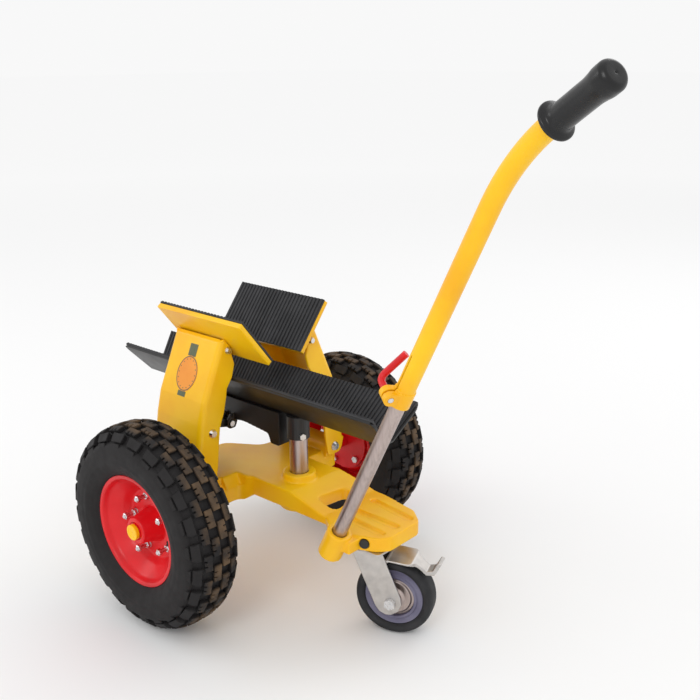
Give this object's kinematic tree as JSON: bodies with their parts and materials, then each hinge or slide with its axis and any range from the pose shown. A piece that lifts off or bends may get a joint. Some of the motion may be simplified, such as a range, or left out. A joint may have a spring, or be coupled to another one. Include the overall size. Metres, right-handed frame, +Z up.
{
  "type": "slab carrying trolley",
  "caption": "Two-wheel slab trolley with a V cradle, self-closing padded jaws, a braked swivel caster and an offset telescopic pull handle.",
  "frame": {"origin": "centre of the bounding box on the floor", "axes": "+X along the cradle towards the pull handle, +Y along the axle towards the right wheel, +Z up"},
  "size_m": [0.964, 0.5462, 0.8521],
  "materials": {
    "yellow_paint": "gloss",
    "red_paint": "gloss",
    "tyre_rubber": "matte",
    "black_rubber": "matte",
    "black_paint": "satin",
    "black_plastic": "satin",
    "grip_plastic": "gloss",
    "grey_plastic": "satin",
    "zinc_steel": "satin",
    "bare_steel": "satin",
    "bright_steel": "satin"
  },
  "bodies": {
    "base": {"base_frame": "yellow_paint", "deck_plug": "black_plastic", "wheel_axle": "bare_steel", "caster_plate": "zinc_steel"},
    "left_wheel": {"left_wheel_tyre": "tyre_rubber", "left_wheel_rim": "red_paint", "left_wheel_hub": "red_paint", "left_wheel_hub_cap": "yellow_paint", "left_wheel_valve": "black_plastic", "left_wheel_bolt_1": "bright_steel", "left_wheel_bolt_2": "bright_steel", "left_wheel_bolt_3": "bright_steel", "left_wheel_bolt_4": "bright_steel", "left_wheel_bolt_5": "bright_steel"},
    "right_wheel": {"right_wheel_tyre": "tyre_rubber", "right_wheel_rim": "red_paint", "right_wheel_hub": "red_paint", "right_wheel_hub_cap": "yellow_paint", "right_wheel_valve": "black_plastic", "right_wheel_bolt_1": "bright_steel", "right_wheel_bolt_2": "bright_steel", "right_wheel_bolt_3": "bright_steel", "right_wheel_bolt_4": "bright_steel", "right_wheel_bolt_5": "bright_steel"},
    "caster_fork": {"caster_fork": "zinc_steel", "caster_axle": "bright_steel"},
    "caster_wheel": {"caster_tyre": "black_rubber", "caster_rim": "grey_plastic", "caster_hub": "bare_steel"},
    "caster_brake": {"caster_brake": "zinc_steel"},
    "cradle": {"cradle_shell": "black_paint", "cradle_liner": "black_rubber", "carriage_beam": "black_paint", "guide_post": "bare_steel", "post_sleeve": "black_paint", "sleeve_bolt": "bright_steel", "left_carriage_pin": "bright_steel", "right_carriage_pin": "bright_steel"},
    "left_upright": {"left_upright": "yellow_paint", "left_foot_pin": "bright_steel", "left_head_pin": "bright_steel", "left_link_bolt": "bright_steel"},
    "right_upright": {"right_upright": "yellow_paint", "right_foot_pin": "bright_steel", "right_head_pin": "bright_steel", "right_link_bolt": "bright_steel"},
    "left_pad": {"left_pad_plate": "yellow_paint", "left_pad_rubber": "black_rubber"},
    "right_pad": {"right_pad_plate": "yellow_paint", "right_pad_rubber": "black_rubber"},
    "left_link": {"left_link": "black_paint"},
    "right_link": {"right_link": "black_paint"},
    "handle_lower": {"handle_lower_tube": "bare_steel"},
    "handle_upper": {"handle_upper_tube": "yellow_paint", "handle_grip": "grip_plastic"},
    "clamp_lever": {"clamp_lever": "red_paint"}
  },
  "joints": [
    {"name": "left_wheel_spin", "type": "hinge", "parent": "base", "child": "left_wheel", "pos_m": [-0.1956, -0.2253, 0.165], "axis": [0, 1, 0], "continuous": true},
    {"name": "right_wheel_spin", "type": "hinge", "parent": "base", "child": "right_wheel", "pos_m": [-0.1956, 0.2253, 0.165], "axis": [0, 1, 0], "continuous": true},
    {"name": "caster_swivel", "type": "hinge", "parent": "base", "child": "caster_fork", "pos_m": [0.0764, -0.015, 0.145], "axis": [0, 0, 1], "continuous": true},
    {"name": "caster_roll", "type": "hinge", "parent": "caster_fork", "child": "caster_wheel", "pos_m": [0.10973, -0.0014, 0.0616], "axis": [-0.3778, 0.9259, 0], "continuous": true},
    {"name": "brake_press", "type": "hinge", "parent": "caster_fork", "child": "caster_brake", "pos_m": [0.10232, -0.00442, 0.1284], "axis": [-0.3778, 0.9259, 0], "range_deg": [0, 3]},
    {"name": "cradle_drop", "type": "slide", "parent": "base", "child": "cradle", "axis": [0, 0, -1], "range_m": [0, 0.015]},
    {"name": "left_upright_swing", "type": "hinge", "parent": "base", "child": "left_upright", "pos_m": [-0.2456, -0.117, 0.203], "axis": [-1, 0, 0], "range_deg": [0, 4.3]},
    {"name": "right_upright_swing", "type": "hinge", "parent": "base", "child": "right_upright", "pos_m": [-0.1836, 0.117, 0.203], "axis": [1, 0, 0], "range_deg": [0, 4.3]},
    {"name": "left_link_swing", "type": "hinge", "parent": "cradle", "child": "left_link", "pos_m": [-0.2456, -0.022, 0.25915], "axis": [-1, 0, 0], "range_deg": [0, 10.2]},
    {"name": "right_link_swing", "type": "hinge", "parent": "cradle", "child": "right_link", "pos_m": [-0.1836, 0.022, 0.25915], "axis": [1, 0, 0], "range_deg": [0, 10.2]},
    {"name": "left_pad_tilt", "type": "hinge", "parent": "left_upright", "child": "left_pad", "pos_m": [-0.2456, -0.063, 0.409], "axis": [-1, 0, 0], "range_deg": [0, 28]},
    {"name": "right_pad_tilt", "type": "hinge", "parent": "right_upright", "child": "right_pad", "pos_m": [-0.1836, 0.063, 0.409], "axis": [1, 0, 0], "range_deg": [0, 28]},
    {"name": "handle_turn", "type": "hinge", "parent": "base", "child": "handle_lower", "pos_m": [0.064, -0.08, 0.182], "axis": [0.4336, 0, 0.9011], "range_deg": [-90, 90]},
    {"name": "handle_slide", "type": "slide", "parent": "handle_lower", "child": "handle_upper", "axis": [0.4336, 0, 0.9011], "range_m": [-0.06, 0.1]},
    {"name": "clamp_turn", "type": "hinge", "parent": "handle_upper", "child": "clamp_lever", "pos_m": [0.17177, -0.09855, 0.42867], "axis": [-0.796, 0.4688, 0.383], "range_deg": [-90, 10]}
  ],
  "couplings": [
    {"joint": "left_upright_swing", "follows": "cradle_drop", "rad_per_m": 4.887},
    {"joint": "right_upright_swing", "follows": "cradle_drop", "rad_per_m": 4.887},
    {"joint": "left_link_swing", "follows": "cradle_drop", "rad_per_m": 11.694},
    {"joint": "right_link_swing", "follows": "cradle_drop", "rad_per_m": 11.694}
  ]
}
